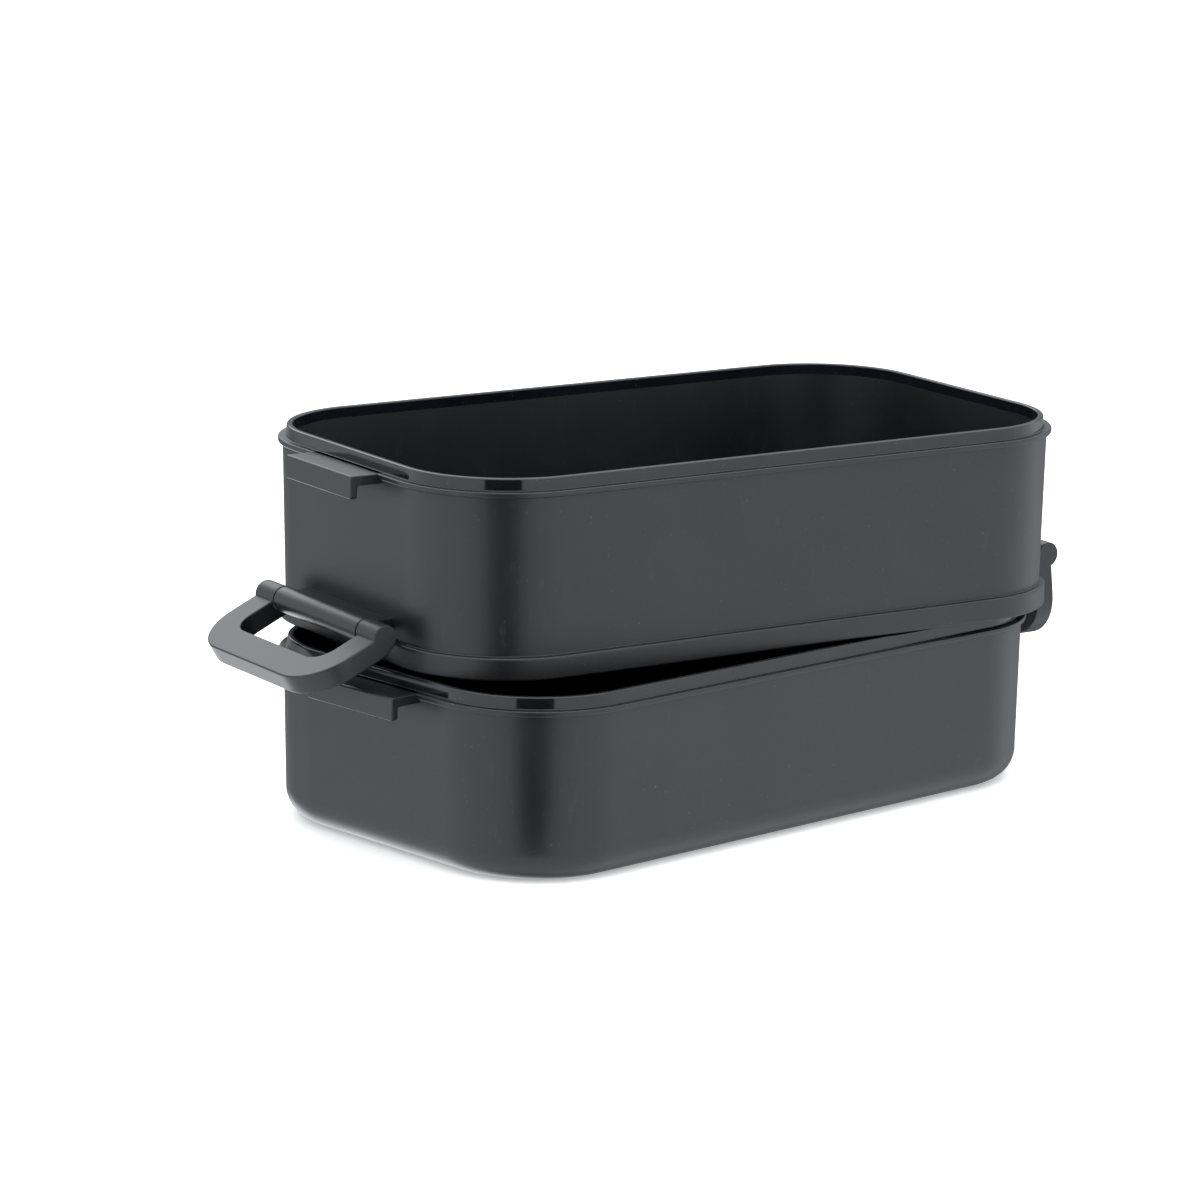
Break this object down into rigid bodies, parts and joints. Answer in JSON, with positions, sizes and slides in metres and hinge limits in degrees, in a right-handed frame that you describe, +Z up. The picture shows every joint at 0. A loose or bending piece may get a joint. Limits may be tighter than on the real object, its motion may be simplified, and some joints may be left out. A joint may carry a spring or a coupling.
{
  "type": "two-tier lunch box",
  "caption": "Two stacked rounded-rectangle plastic tubs with catch ledges on the short ends; the upper one carries a swinging, windowed clip on each end.",
  "frame": {"origin": "centre of the lower tub's flat underside, which stands on the table", "axes": "+Z up, +X along the lower tub's length towards the closed clip, +Y across it"},
  "size_m": [0.2347, 0.1352, 0.0974],
  "materials": {
    "tub_plastic": "satin, dark charcoal",
    "clip_plastic": "satin, dark charcoal",
    "pin_steel": "plain drawn wire"
  },
  "bodies": {
    "lower_tier": {"lower_container": "tub_plastic"},
    "upper_tier": {"upper_container": "tub_plastic", "left_hinge_pin": "pin_steel", "right_hinge_pin": "pin_steel"},
    "left_clip": {"left_clip": "clip_plastic"},
    "right_clip": {"right_clip": "clip_plastic"}
  },
  "joints": [
    {"name": "upper_tier_lift", "type": "slide", "parent": "lower_tier", "child": "upper_tier", "axis": [0, 0, 1], "range_m": [0, 0.08]},
    {"name": "left_clip_swing", "type": "hinge", "parent": "upper_tier", "child": "left_clip", "pos_m": [-0.09269, 0.02357, 0.0561], "axis": [0.169, 0.9856, 0], "range_deg": [0, 125]},
    {"name": "right_clip_swing", "type": "hinge", "parent": "upper_tier", "child": "right_clip", "pos_m": [0.10869, -0.01097, 0.0561], "axis": [-0.169, -0.9856, 0], "range_deg": [0, 184]}
  ]
}
